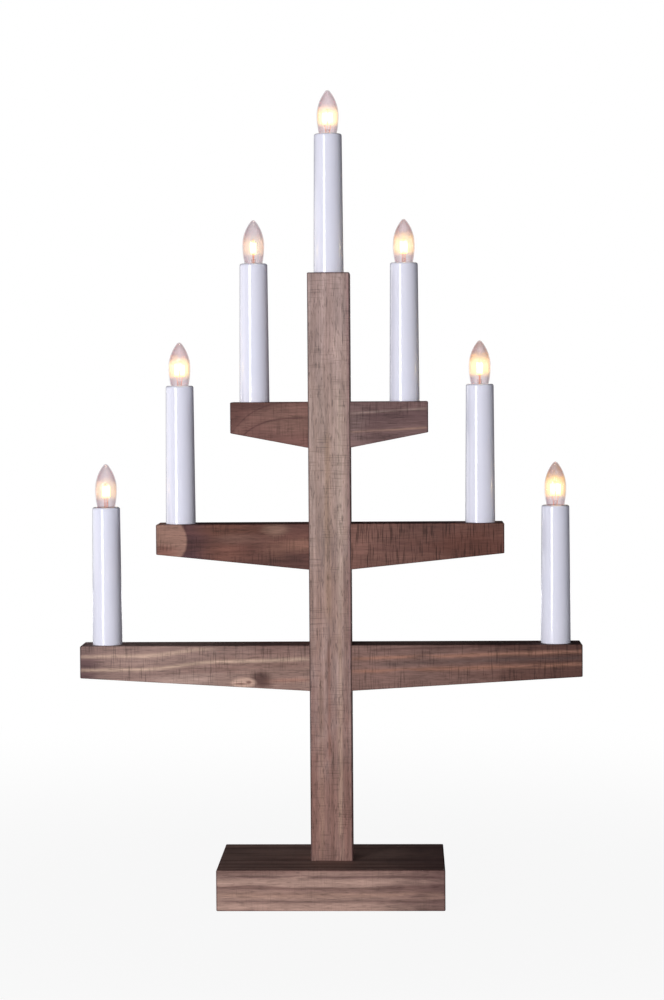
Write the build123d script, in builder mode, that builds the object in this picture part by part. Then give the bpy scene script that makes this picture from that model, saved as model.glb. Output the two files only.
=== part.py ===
from build123d import *
from math import pi
import os

os.makedirs("parts", exist_ok=True)

# Candle tree for seven small screw bulbs. Millimetres, +Z up, front towards -Y.
# The origin is the middle of the foot block's underside.

# Layout of the tree
candle_spacing = 50.0
arm_step = 80.8
lower_arm_rise = 144.0
crown_rise = 85.4

# Woodwork
wood_side = 28.0
edge_round = 0.8
foot_length = 150.0
foot_depth = 94.0
foot_height = 27.0
arm_root_height = 30.4
lower_end_height = 21.5
middle_end_height = 20.0
upper_end_height = 20.5
lower_overhang = 17.0
middle_overhang = 15.5
upper_overhang = 15.5

# Candle tubes
tube_height = 92.0
tube_rim_radius = 9.2
tube_foot_radius = 9.95
tube_wall = 1.3
tube_rim_round = 1.4
tube_mouth_round = 0.6
mouth_radius = 6.8
lip_depth = 3.0

# Seats for the tubes in the wood
seat_depth = 9.0
seat_clearance = 0.1
pocket_radius = 6.5
groove_width = 8.0

# Screw bulbs, heights and drops measured from the tube's rim
bulb_radius = 7.2
bulb_rise = 28.8
belly_rise = 12.0
nose_radius = 1.9
glass_wall = 0.6
waist_radius = 4.68
neck_radius = 4.25
neck_step = 1.1
neck_length = 4.5
stem_radius = 1.5
stem_rise = 3.0
stem_flare = 1.2
cap_drop = 4.5
cap_length = 8.7
cap_wall = 0.3
cap_thread_radius = 4.65
cap_collar_radius = 5.1
cap_collar_length = 1.6
cap_floor_hole_radius = 3.4
base_gap = 0.05
insulator_radius = 4.2
insulator_end_radius = 2.4
insulator_length = 1.2
solder_radius = 1.9
solder_length = 1.0
solder_round = 0.5

# Filament and the wires that hold it
filament_wire_radius = 0.22
filament_support_radius = 0.15
filament_half_gap = 1.6
filament_foot_half_gap = 0.9
filament_foot_rise = 6.3
filament_top_rise = 16.0
filament_arch_radius = 1.5
filament_kink_radius = 1.5

# How far each bulb is turned, in degrees seen from above, where its thread happened to stop
bulb_turns = {
    "top": 0,
    "upper_left": 80,
    "upper_right": 60,
    "middle_left": 25,
    "middle_right": 75,
    "lower_left": 65,
    "lower_right": 15,
}

# Lampholders
holder_length = 20.0
holder_clearance = 0.1
holder_floor = 3.0
holder_mouth_radius = 5.7
holder_skirt_wall = 1.3
shell_wall = 0.4
thread_clearance = 0.1
collar_gap = 0.3
contact_gap = 0.05
rivet_head_radius = 2.2
rivet_head_thickness = 0.55
rivet_shank_radius = 1.25
insert_clearance = 0.05
tag_width = 1.8
tag_length = 3.0

# Series leads, their clips and the cord's bush
lead_radius = 0.8
lead_spacing = 2.6
lead_clearance = 0.2
lead_bend_radius = 5.0
clip_length = 5.0
clip_leg = 1.2
clip_crown = 1.2
bush_rise = 22.0
bush_length = 14.0
bush_reach = 5.0
bush_bore_radius = 3.0
bush_flange = 1.6
bush_lip = 2.0
bush_clearance = 0.1
bush_chamfer = 0.5
lead_tail = 0.5

# Dowels and screws
dowel_radius = 3.0
dowel_clearance = 0.05
dowel_in_post = 12.0
dowel_in_arm = 16.0
dowel_spare = 1.0
dowel_chamfer = 0.8
dowel_setback = 4.0
upper_dowel_drop = 8.0
lower_dowel_drop = 22.0
screw_shank_radius = 2.0
screw_head_radius = 4.2
screw_sink = 0.5
screw_bite = 26.0
screw_point = 4.0
screw_clearance = 0.1
screw_half_spacing = 7.0
screw_head_angle = 90

# Rows of arms from the lowest up: name, candle's place in spacings, overhang past it, height at the end
rows = (
    ("lower", 3, lower_overhang, lower_end_height),
    ("middle", 2, middle_overhang, middle_end_height),
    ("upper", 1, upper_overhang, upper_end_height),
)
sides = (("left", -1), ("right", 1))
arm_clip_shares = {"lower": (0.25, 0.7), "middle": (0.45,), "upper": (0.45,)}
post_clip_shares = (0.35, 0.7)
bush_bend_share = 0.9

# Sizes that follow from those above
half_side = wood_side / 2
row_tops = [foot_height + lower_arm_rise + index * arm_step for index in range(len(rows))]
post_top = row_tops[-1] + crown_rise
seat_radius = tube_foot_radius + seat_clearance
pocket_depth = seat_depth + groove_width
groove_drop = seat_depth + groove_width / 2
flank_radius = (
    bulb_radius**2 - nose_radius**2 + (bulb_rise - nose_radius - belly_rise) ** 2
) / (2 * (bulb_radius - nose_radius))
cap_floor_drop = cap_drop + cap_length
insulator_drop = cap_floor_drop + base_gap
solder_drop = insulator_drop + insulator_length
rivet_drop = solder_drop + solder_length + contact_gap
holder_floor_drop = rivet_drop + rivet_head_thickness
holder_under_drop = holder_floor_drop + holder_floor
tag_drop = holder_under_drop + tag_length
shell_radius = cap_thread_radius + thread_clearance + shell_wall
shell_drop = cap_drop + cap_collar_length + collar_gap
holder_radius = tube_rim_radius - tube_wall - holder_clearance
lead_plane = shell_radius - shell_wall / 2
groove_floor = lead_plane - lead_radius - lead_clearance
groove_depth = half_side - groove_floor
half_lead_spacing = lead_spacing / 2
bush_z = foot_height + bush_rise
screw_length = foot_height - screw_sink + screw_bite

# Every place where a candle stands: name, distance from the middle, height of the wood there
seats = [("top", 0, post_top)]
for (row, steps, overhang, end_height), top in zip(rows, row_tops):
    for side, sign in sides:
        seats.append((f"{row}_{side}", sign * steps * candle_spacing, top))


def write(piece, name):
    """Label a finished piece and write it under its node's name."""
    piece.part.label = name
    export_step(piece.part, f"parts/{name}.step")


def rim_plane(x, top):
    """Upright plane through a candle, with its origin in the middle of the tube's rim."""
    return Plane(origin=(x, 0, top + tube_height), x_dir=(1, 0, 0), z_dir=(0, -1, 0))


def candle_axis(plane):
    return Axis(plane.origin, plane.y_dir)


def dowel_spots(top):
    """Places of an arm's two dowels in the plane of its root."""
    return [(-dowel_setback, top - upper_dowel_drop), (-dowel_setback, top - lower_dowel_drop)]


# Foot block, with two countersunk holes from below
screw_spots = [(-screw_half_spacing, -dowel_setback), (screw_half_spacing, -dowel_setback)]
with BuildPart() as foot_block:
    with BuildSketch(Plane.XY):
        Rectangle(foot_length, foot_depth)
    extrude(amount=foot_height)
    fillet(foot_block.edges(), edge_round)
    for spot in screw_spots:
        with Locations(Plane(origin=(*spot, 0), z_dir=(0, 0, -1))):
            CounterSinkHole(
                screw_shank_radius + screw_clearance,
                screw_head_radius + screw_sink + screw_clearance,
                foot_height,
                screw_head_angle,
            )
write(foot_block, "foot_block")

# Post: seat for the top candle, a groove down its back with one branch to each row, dowel and screw holes
with BuildPart() as post:
    with BuildSketch(Plane.XY.offset(foot_height)):
        Rectangle(wood_side, wood_side)
    extrude(amount=post_top - foot_height)
    standing_face = post.faces().sort_by(Axis.Z)[0]
    fillet(post.edges() - standing_face.edges(), edge_round)
    with Locations((0, 0, post_top)):
        CounterBoreHole(pocket_radius, seat_radius, seat_depth, pocket_depth)
    groove_foot = bush_z - (bush_length - groove_width) / 2
    groove_head = post_top - pocket_depth
    with BuildSketch(Plane.XZ.offset(-half_side)):
        with Locations((0, (groove_foot + groove_head) / 2)):
            SlotCenterToCenter(groove_head - groove_foot, groove_width, rotation=90)
        with Locations(*[(0, top - groove_drop) for top in row_tops]):
            Rectangle(wood_side, groove_width)
    extrude(amount=groove_depth, mode=Mode.SUBTRACT)
    for side, sign in sides:
        with BuildSketch(Plane.YZ.offset(sign * half_side)):
            with Locations(*[spot for top in row_tops for spot in dowel_spots(top)]):
                Circle(dowel_radius + dowel_clearance)
        extrude(amount=-sign * (dowel_in_post + dowel_spare), mode=Mode.SUBTRACT)
    with BuildSketch(Plane.XY.offset(foot_height)):
        with Locations(*screw_spots):
            Circle(screw_shank_radius + screw_clearance)
    extrude(amount=screw_bite + screw_clearance, mode=Mode.SUBTRACT)
write(post, "post")


def make_arm(name, sign, top, reach, overhang, end_height):
    """One arm: flat on top, tapered below, bored for its candle and grooved along its back."""
    end = reach + overhang
    with BuildPart() as arm:
        with BuildSketch(Plane.XZ):
            with BuildLine():
                Polyline(
                    (sign * half_side, top),
                    (sign * end, top),
                    (sign * end, top - end_height),
                    (sign * half_side, top - arm_root_height),
                    close=True,
                )
            make_face()
        extrude(amount=half_side, both=True)
        root_face = arm.faces().sort_by(Axis.X)[0 if sign > 0 else -1]
        fillet(arm.edges() - root_face.edges(), edge_round)
        with Locations((sign * reach, 0, top)):
            CounterBoreHole(pocket_radius, seat_radius, seat_depth, pocket_depth)
        with BuildSketch(Plane.XZ.offset(-half_side)):
            with Locations((sign * (half_side + reach) / 2, top - groove_drop)):
                SlotCenterToCenter(reach - half_side, groove_width)
        extrude(amount=groove_depth, mode=Mode.SUBTRACT)
        with BuildSketch(Plane.YZ.offset(sign * half_side)):
            with Locations(*dowel_spots(top)):
                Circle(dowel_radius + dowel_clearance)
        extrude(amount=sign * (dowel_in_arm + dowel_spare), mode=Mode.SUBTRACT)
    write(arm, name)


for (row, steps, overhang, end_height), top in zip(rows, row_tops):
    for side, sign in sides:
        make_arm(f"arm_{row}_{side}", sign, top, steps * candle_spacing, overhang, end_height)

# Dowels that join the arms to the post
with BuildPart() as arm_dowels:
    for top in row_tops:
        for side, sign in sides:
            with BuildSketch(Plane.YZ.offset(sign * (half_side - dowel_in_post))):
                with Locations(*dowel_spots(top)):
                    Circle(dowel_radius)
            extrude(amount=sign * (dowel_in_post + dowel_in_arm))
    chamfer(arm_dowels.edges().filter_by(GeomType.CIRCLE), dowel_chamfer)
write(arm_dowels, "arm_dowels")

# Wood screws from under the foot block into the post
with BuildPart() as foot_screws:
    for x, y in screw_spots:
        screw_plane = Plane(origin=(x, y, screw_sink), x_dir=(1, 0, 0), z_dir=(0, -1, 0))
        with BuildSketch(screw_plane):
            with BuildLine():
                Polyline(
                    (0, 0),
                    (screw_head_radius, 0),
                    (screw_shank_radius, screw_head_radius - screw_shank_radius),
                    (screw_shank_radius, screw_length - screw_point),
                    (0, screw_length),
                    close=True,
                )
            make_face()
        revolve(axis=candle_axis(screw_plane))
write(foot_screws, "foot_screws")


def make_tube(name, x, top):
    """Moulded candle tube, drafted towards its rim, with a lip inside that stops the lampholder."""
    rim = rim_plane(x, top)
    inner_rim = tube_rim_radius - tube_wall
    inner_foot = tube_foot_radius - tube_wall
    foot = -tube_height - seat_depth
    with BuildPart() as tube:
        with BuildSketch(rim) as wall:
            with BuildLine():
                Polyline(
                    (mouth_radius, 0),
                    (tube_rim_radius, 0),
                    (tube_foot_radius, -tube_height),
                    (tube_foot_radius, foot),
                    (inner_foot, foot),
                    (inner_rim, -lip_depth),
                    (mouth_radius, -lip_depth),
                    close=True,
                )
            make_face()
            fillet(wall.vertices().group_by(Axis.Y)[-1].sort_by(Axis.X)[0], tube_mouth_round)
            fillet(wall.vertices().group_by(Axis.Y)[-1].sort_by(Axis.X)[-1], tube_rim_round)
        revolve(axis=candle_axis(rim))
    write(tube, name)


def make_holder(name, x, top):
    """Lampholder body: a cup for the threaded shell over a skirt for its solder tags."""
    rim = rim_plane(x, top)
    shell_bore = shell_radius + insert_clearance
    bottom = -lip_depth - holder_length
    with BuildPart() as holder:
        with BuildSketch(rim):
            with BuildLine():
                Polyline(
                    (holder_mouth_radius, -lip_depth),
                    (holder_radius, -lip_depth),
                    (holder_radius, bottom),
                    (holder_radius - holder_skirt_wall, bottom),
                    (holder_radius - holder_skirt_wall, -holder_under_drop),
                    (rivet_shank_radius + insert_clearance, -holder_under_drop),
                    (rivet_shank_radius + insert_clearance, -holder_floor_drop),
                    (shell_bore, -holder_floor_drop),
                    (shell_bore, -shell_drop),
                    (holder_mouth_radius, -shell_drop),
                    close=True,
                )
            make_face()
        revolve(axis=candle_axis(rim))
        with BuildSketch(Plane.XY.offset(top + tube_height - holder_under_drop)):
            with Locations((x - half_lead_spacing, lead_plane)):
                Rectangle(tag_width + 2 * insert_clearance, shell_wall + 2 * insert_clearance)
        extrude(amount=holder_floor, mode=Mode.SUBTRACT)
    write(holder, name)


def make_glass(name, x, top):
    """Flame-shaped envelope, hollow, with its stem standing inside on the closed neck."""

    def flame(inset):
        """Half outline from nose to waist, moved inwards by the inset. Returns the waist's arc."""
        belly = (bulb_radius - inset, belly_rise)
        nose_centre = Vector(0, bulb_rise - nose_radius)
        lean = Vector(flank_radius - bulb_radius, bulb_rise - nose_radius - belly_rise).normalized()
        shoulder = nose_centre + lean * (nose_radius - inset)
        flank = TangentArc(belly, shoulder, tangent=(0, 1))
        TangentArc(flank @ 1, (0, bulb_rise - inset), tangent=flank % 1)
        return TangentArc(belly, (waist_radius - inset, -cap_drop), tangent=(0, -1))

    rim = rim_plane(x, top)
    neck_end = -cap_drop - neck_length
    with BuildPart() as glass:
        with BuildSketch(rim):
            with BuildLine():
                waist = flame(0)
                Polyline(
                    waist @ 1,
                    (neck_radius, -cap_drop - neck_step),
                    (neck_radius, neck_end),
                    (0, neck_end),
                    (0, bulb_rise),
                )
            make_face()
            with BuildLine():
                waist = flame(glass_wall)
                Polyline(
                    waist @ 1,
                    (neck_radius - glass_wall, -cap_drop - neck_step),
                    (neck_radius - glass_wall, neck_end + glass_wall),
                    (stem_radius + stem_flare, neck_end + glass_wall),
                    (stem_radius, neck_end + glass_wall + stem_flare),
                    (stem_radius, stem_rise),
                    (0, stem_rise),
                    (0, bulb_rise - glass_wall),
                )
            make_face(mode=Mode.SUBTRACT)
        revolve(axis=candle_axis(rim))
    write(glass, name)


def make_filament(name, x, top, turn):
    """One wire from the stem up, over and down again, with a straight support welded under its arch."""
    rim = rim_plane(x, top)
    foot_bends = (filament_kink_radius, filament_arch_radius)
    with BuildPart() as filament:
        with BuildLine(rim) as route:
            FilletPolyline(
                (-filament_foot_half_gap, stem_rise),
                (-filament_half_gap, filament_foot_rise),
                (-filament_half_gap, filament_top_rise),
                (filament_half_gap, filament_top_rise),
                (filament_half_gap, filament_foot_rise),
                (filament_foot_half_gap, stem_rise),
                radius=(*foot_bends, *reversed(foot_bends)),
            )
        with BuildSketch(Plane(origin=route.wire() @ 0, z_dir=route.wire() % 0)):
            Circle(filament_wire_radius)
        sweep(path=route.wire())
        with BuildSketch(Plane.XY.offset(top + tube_height + stem_rise)):
            with Locations((x, 0)):
                Circle(filament_support_radius)
        extrude(amount=filament_top_rise - stem_rise)
    turned = filament.part.rotate(candle_axis(rim), turn)
    turned.label = name
    export_step(turned, f"parts/{name}.step")


def make_cap(name, x, top):
    """Brass cap of the bulb: a smooth collar over the threaded part, its thread left plain here."""
    rim = rim_plane(x, top)
    thread_top = -cap_drop - cap_collar_length
    with BuildPart() as cap:
        with BuildSketch(rim):
            with BuildLine():
                Polyline(
                    (cap_collar_radius, -cap_drop),
                    (cap_collar_radius, thread_top),
                    (cap_thread_radius, thread_top),
                    (cap_thread_radius, -cap_floor_drop),
                    (cap_floor_hole_radius, -cap_floor_drop),
                    (cap_floor_hole_radius, cap_wall - cap_floor_drop),
                    (cap_thread_radius - cap_wall, cap_wall - cap_floor_drop),
                    (cap_thread_radius - cap_wall, cap_wall + thread_top),
                    (cap_collar_radius - cap_wall, cap_wall + thread_top),
                    (cap_collar_radius - cap_wall, -cap_drop),
                    close=True,
                )
            make_face()
        revolve(axis=candle_axis(rim))
    write(cap, name)


def make_base(name, x, top):
    """Underside of the bulb: the black glass insulator and the solder contact below it."""
    rim = rim_plane(x, top)
    with BuildPart() as base:
        with BuildSketch(rim):
            with BuildLine():
                Polyline(
                    (0, -insulator_drop),
                    (insulator_radius, -insulator_drop),
                    (insulator_end_radius, -solder_drop),
                    (0, -solder_drop),
                    close=True,
                )
            make_face()
        revolve(axis=candle_axis(rim))
    with BuildPart() as solder:
        with BuildSketch(rim) as drop:
            with BuildLine():
                Polyline(
                    (0, -solder_drop),
                    (solder_radius, -solder_drop),
                    (solder_radius, -solder_drop - solder_length),
                    (0, -solder_drop - solder_length),
                    close=True,
                )
            make_face()
            fillet(drop.vertices().group_by(Axis.Y)[0].sort_by(Axis.X)[-1], solder_round)
        revolve(axis=candle_axis(rim))
    pieces = Compound(label=name, children=[*base.solids(), *solder.solids()])
    export_step(pieces, f"parts/{name}.step")


for place, x, top in seats:
    make_tube(f"candle_tube_{place}", x, top)
    make_holder(f"lampholder_{place}", x, top)
    make_glass(f"bulb_glass_{place}", x, top)
    make_filament(f"bulb_filament_{place}", x, top, bulb_turns[place])
    make_cap(f"bulb_cap_{place}", x, top)
    make_base(f"bulb_base_{place}", x, top)

# Brass shells that take the bulbs' thread, each with a solder tag through the holder's floor
with BuildPart() as socket_shells:
    for place, x, top in seats:
        rim = rim_plane(x, top)
        with BuildSketch(rim):
            with Locations((shell_radius - shell_wall / 2, -(shell_drop + holder_floor_drop) / 2)):
                Rectangle(shell_wall, holder_floor_drop - shell_drop)
        revolve(axis=candle_axis(rim))
        with BuildSketch(Plane.XY.offset(top + tube_height - tag_drop)):
            with Locations((x - half_lead_spacing, lead_plane)):
                Rectangle(tag_width, shell_wall)
        extrude(amount=tag_drop - holder_floor_drop)
write(socket_shells, "socket_shells")

# Centre contacts: a rivet through the holder's floor and a strip under it, bent down as a tag
with BuildPart() as socket_contacts:
    strip_end = lead_plane + shell_wall / 2
    for place, x, top in seats:
        rim_z = top + tube_height
        with BuildSketch(Plane.XY.offset(rim_z - holder_floor_drop)):
            with Locations((x, 0)):
                Circle(rivet_head_radius)
        extrude(amount=rivet_head_thickness)
        with BuildSketch(Plane.XY.offset(rim_z - holder_under_drop - shell_wall)):
            with Locations((x, 0)):
                Circle(rivet_shank_radius)
        extrude(amount=holder_floor + shell_wall)
        with BuildSketch(Plane.XY.offset(rim_z - holder_under_drop - shell_wall)):
            with Locations((x + half_lead_spacing, (strip_end - rivet_shank_radius) / 2)):
                Rectangle(tag_width, strip_end + rivet_shank_radius)
        extrude(amount=shell_wall)
        with BuildSketch(Plane.XY.offset(rim_z - tag_drop)):
            with Locations((x + half_lead_spacing, lead_plane)):
                Rectangle(tag_width, shell_wall)
        extrude(amount=tag_length)
write(socket_contacts, "socket_contacts")


def lay_lead(*stops, bends):
    """Sweep one lead through its stops and return its length."""
    with BuildLine() as route:
        FilletPolyline(*stops, radius=bends)
    path = route.wire()
    with BuildSketch(Plane(origin=path @ 0, z_dir=path % 0)) as section:
        Circle(lead_radius)
    sweep(sections=section.sketch, path=path)
    print("lead", round(path.length, 1), "long, bend radii", [round(bend, 2) for bend in bends])
    return path.length


def compare_leads(piece, lengths):
    """Print a node's volume as a share of its leads' section times their length."""
    share = piece.part.volume / (pi * lead_radius**2 * sum(lengths))
    print("volume share", round(share, 4))


def tag_foot(place_x, top, offset):
    """Under a solder tag, at the given offset from the candle's middle."""
    return (place_x + offset, lead_plane, top + tube_height - tag_drop)


# Leads between neighbouring lamps on one side, each down its tube, along the grooves and up the next tube
wide_bend = lead_bend_radius + lead_spacing
for side, sign in sides:
    with BuildPart() as side_leads:
        inner = sign * half_lead_spacing
        lengths = []
        for index in range(len(rows)):
            reach = rows[index][1] * candle_spacing
            low_top = row_tops[index]
            low_groove = low_top - groove_drop + half_lead_spacing
            stops = [
                tag_foot(sign * reach, low_top, -inner),
                (sign * reach - inner, lead_plane, low_groove),
                (inner, lead_plane, low_groove),
            ]
            bends = [lead_bend_radius, lead_bend_radius]
            if index + 1 < len(rows):
                next_reach = rows[index + 1][1] * candle_spacing
                next_top = row_tops[index + 1]
                next_groove = next_top - groove_drop - half_lead_spacing
                stops.append((inner, lead_plane, next_groove))
                stops.append((sign * next_reach + inner, lead_plane, next_groove))
                stops.append(tag_foot(sign * next_reach, next_top, inner))
                bends += [lead_bend_radius, wide_bend]
            else:
                stops.append(tag_foot(0, post_top, inner))
            lengths.append(lay_lead(*stops, bends=bends))
    compare_leads(side_leads, lengths)
    write(side_leads, f"leads_{side}")

# Two leads from the cord's bush to the lowest lamps, where the series begins and ends
with BuildPart() as supply_leads:
    lengths = []
    bush_stop = half_side - bush_reach - lead_tail
    for side, sign in sides:
        inner = sign * half_lead_spacing
        reach = rows[0][1] * candle_spacing
        groove = row_tops[0] - groove_drop - half_lead_spacing
        stops = [
            (inner, bush_stop, bush_z),
            (inner, lead_plane, bush_z),
            (inner, lead_plane, groove),
            (sign * reach + inner, lead_plane, groove),
            tag_foot(sign * reach, row_tops[0], inner),
        ]
        bends = [bush_bend_share * (bush_stop - lead_plane), lead_bend_radius, wide_bend]
        lengths.append(lay_lead(*stops, bends=bends))
compare_leads(supply_leads, lengths)
write(supply_leads, "leads_supply")

# Clips pressed between the walls of the grooves, over the leads
clip_planes = []
for (row, steps, overhang, end_height), top in zip(rows, row_tops):
    for side, sign in sides:
        for share in arm_clip_shares[row]:
            clip_x = sign * (half_side + share * (steps * candle_spacing - half_side))
            clip_planes.append(
                Plane(origin=(clip_x, groove_floor, top - groove_drop), x_dir=(0, 0, 1), z_dir=(-1, 0, 0))
            )
levels = [bush_z, *[top - groove_drop for top in row_tops], post_top - groove_drop]
for low, high in zip(levels, levels[1:]):
    for share in post_clip_shares:
        clip_planes.append(Plane(origin=(0, groove_floor, low + share * (high - low)), z_dir=(0, 0, 1)))
clip_inner_height = lead_clearance + 2 * lead_radius + lead_clearance
with BuildPart() as lead_clips:
    for plane in clip_planes:
        with BuildSketch(plane):
            Rectangle(groove_width, clip_inner_height + clip_crown, align=(Align.CENTER, Align.MIN))
            Rectangle(
                groove_width - 2 * clip_leg,
                clip_inner_height,
                align=(Align.CENTER, Align.MIN),
                mode=Mode.SUBTRACT,
            )
        extrude(amount=clip_length / 2, both=True)
write(lead_clips, "lead_clips")

# Bush at the groove's foot, where the mains cord comes in from behind
with BuildPart() as cord_bush:
    with BuildSketch(Plane.XZ.offset(-half_side)):
        with Locations((0, bush_z)):
            SlotOverall(
                bush_length - 2 * bush_clearance, groove_width - 2 * bush_clearance, rotation=90
            )
    extrude(amount=bush_reach)
    with BuildSketch(Plane.XZ.offset(-half_side - bush_flange)):
        with Locations((0, bush_z)):
            SlotOverall(bush_length + 2 * bush_lip, groove_width + 2 * bush_lip, rotation=90)
    extrude(amount=bush_flange)
    chamfer(cord_bush.faces().sort_by(Axis.Y)[-1].edges(), bush_chamfer)
    with BuildSketch(Plane.XZ.offset(-half_side - bush_flange)):
        with Locations((0, bush_z)):
            Circle(bush_bore_radius)
    extrude(amount=bush_flange + bush_reach, mode=Mode.SUBTRACT)
write(cord_bush, "cord_bush")
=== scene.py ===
from math import asin, atan2, hypot, pi, radians, tau

import bmesh
import bpy
from mathutils import Matrix, Vector


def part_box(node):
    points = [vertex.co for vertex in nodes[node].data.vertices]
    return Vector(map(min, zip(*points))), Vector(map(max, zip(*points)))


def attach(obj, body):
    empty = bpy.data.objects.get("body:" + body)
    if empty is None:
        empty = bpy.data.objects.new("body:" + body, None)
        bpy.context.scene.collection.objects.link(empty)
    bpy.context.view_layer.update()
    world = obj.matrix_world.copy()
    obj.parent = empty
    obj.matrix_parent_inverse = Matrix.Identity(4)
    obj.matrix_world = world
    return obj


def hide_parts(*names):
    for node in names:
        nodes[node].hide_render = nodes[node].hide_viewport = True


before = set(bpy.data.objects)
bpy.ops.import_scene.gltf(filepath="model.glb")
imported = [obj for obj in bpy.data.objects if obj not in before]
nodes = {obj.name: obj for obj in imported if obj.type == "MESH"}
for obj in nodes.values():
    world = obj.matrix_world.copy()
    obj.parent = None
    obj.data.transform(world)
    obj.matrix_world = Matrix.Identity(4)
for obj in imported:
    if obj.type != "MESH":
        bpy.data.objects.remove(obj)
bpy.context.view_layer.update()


# Camera. It stands 1.7 m in front of the tree and a little to its right, with a long lens, turned
# slightly to the left and tipped slightly down. Its focal length is in pixels of the photograph.
focal_pixels = 2514.7
photo_height_pixels = 1000
camera_place = (0.0499, -1.6759, 0.3459)
camera_turn = 0.02904
camera_tip = 0.04702
camera_roll = -0.00661

camera_data = bpy.data.cameras.new("camera")
camera_data.sensor_fit = "VERTICAL"
camera_data.lens = focal_pixels / photo_height_pixels * camera_data.sensor_height
camera = bpy.data.objects.new("camera", camera_data)
camera.matrix_world = (
    Matrix.Translation(camera_place)
    @ Matrix.Rotation(camera_turn, 4, "Z")
    @ Matrix.Rotation(pi / 2 - camera_tip, 4, "X")
    @ Matrix.Rotation(camera_roll, 4, "Z")
)
bpy.context.scene.collection.objects.link(camera)
bpy.context.scene.camera = camera


# Studio. A tall soft box to the front left gives the candles their upright highlight, and a wide one to
# the left lights their edges. Wide ones in front, behind and, faintly, to the right add light without
# gloss. All stand at the tree's own height in a dim room, so that what faces up or right stays dark.
room_colour = (0.86, 0.88, 1.0, 1.0)
room_strength = 0.035
backdrop_colour = (1.0, 1.0, 1.0, 1.0)
backdrop_strength = 1.0
aim = Vector((0, 0, 0.28))


def soft_box(name, place, width, height, watts, shines=True):
    """A rectangular soft light turned towards the tree. Unless it shines, it adds light but no gloss."""
    data = bpy.data.lights.new(name, "AREA")
    data.shape = "RECTANGLE"
    data.size = width
    data.size_y = height
    data.energy = watts
    light = bpy.data.objects.new(name, data)
    light.location = place
    light.rotation_euler = (aim - Vector(place)).to_track_quat("-Z", "Y").to_euler()
    light.visible_camera = False
    light.visible_glossy = shines
    bpy.context.scene.collection.objects.link(light)


soft_box("key_light", place=(-1.10, -1.84, 0.40), width=0.5, height=0.8, watts=18)
soft_box("front_light", place=(-0.5, -3.4, 0.32), width=3.2, height=0.56, watts=62, shines=False)
soft_box("left_light", place=(-2.3, 0.7, 0.36), width=3.2, height=0.64, watts=11)
soft_box("right_light", place=(2.4, -0.6, 0.36), width=1.6, height=0.64, watts=3, shines=False)
soft_box("back_light", place=(-0.5, 2.4, 0.18), width=2.4, height=0.4, watts=46, shines=False)

bpy.context.scene.view_settings.view_transform = "Standard"
world = bpy.data.worlds.new("room")
bpy.context.scene.world = world
world.use_nodes = True
world_nodes = world.node_tree.nodes
room = world_nodes["Background"]
room.inputs["Color"].default_value = room_colour
room.inputs["Strength"].default_value = room_strength
backdrop = world_nodes.new("ShaderNodeBackground")
backdrop.inputs["Color"].default_value = backdrop_colour
backdrop.inputs["Strength"].default_value = backdrop_strength
seen = world_nodes.new("ShaderNodeLightPath")
choice = world_nodes.new("ShaderNodeMixShader")
world.node_tree.links.new(seen.outputs["Is Camera Ray"], choice.inputs[0])
world.node_tree.links.new(room.outputs[0], choice.inputs[1])
world.node_tree.links.new(backdrop.outputs[0], choice.inputs[2])
world.node_tree.links.new(choice.outputs[0], world_nodes["World Output"].inputs["Surface"])


# Floor. A plain pale sheet just under the foot block. Away from the tree it fades into the white
# backdrop, so that only a faint shadow shows around the foot.
mm = 0.001
floor_half_size = 30.0
floor_gap = 0.05 * mm
floor_colour = (0.62, 0.62, 0.64, 1.0)
floor_paleness = 0.92
floor_fade_start = 0.15
floor_fade_stop = 0.9


class Value:
    """A number or colour that varies over a surface: one socket in the node tree of a finish."""

    def __init__(self, finish, socket):
        self.finish = finish
        self.socket = socket

    def __add__(self, other):
        return self.finish.maths("ADD", self, other)

    def __sub__(self, other):
        return self.finish.maths("SUBTRACT", self, other)

    def __rsub__(self, other):
        return self.finish.maths("SUBTRACT", other, self)

    def __mul__(self, other):
        return self.finish.maths("MULTIPLY", self, other)

    def __truediv__(self, other):
        return self.finish.maths("DIVIDE", self, other)

    __radd__ = __add__
    __rmul__ = __mul__


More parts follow.
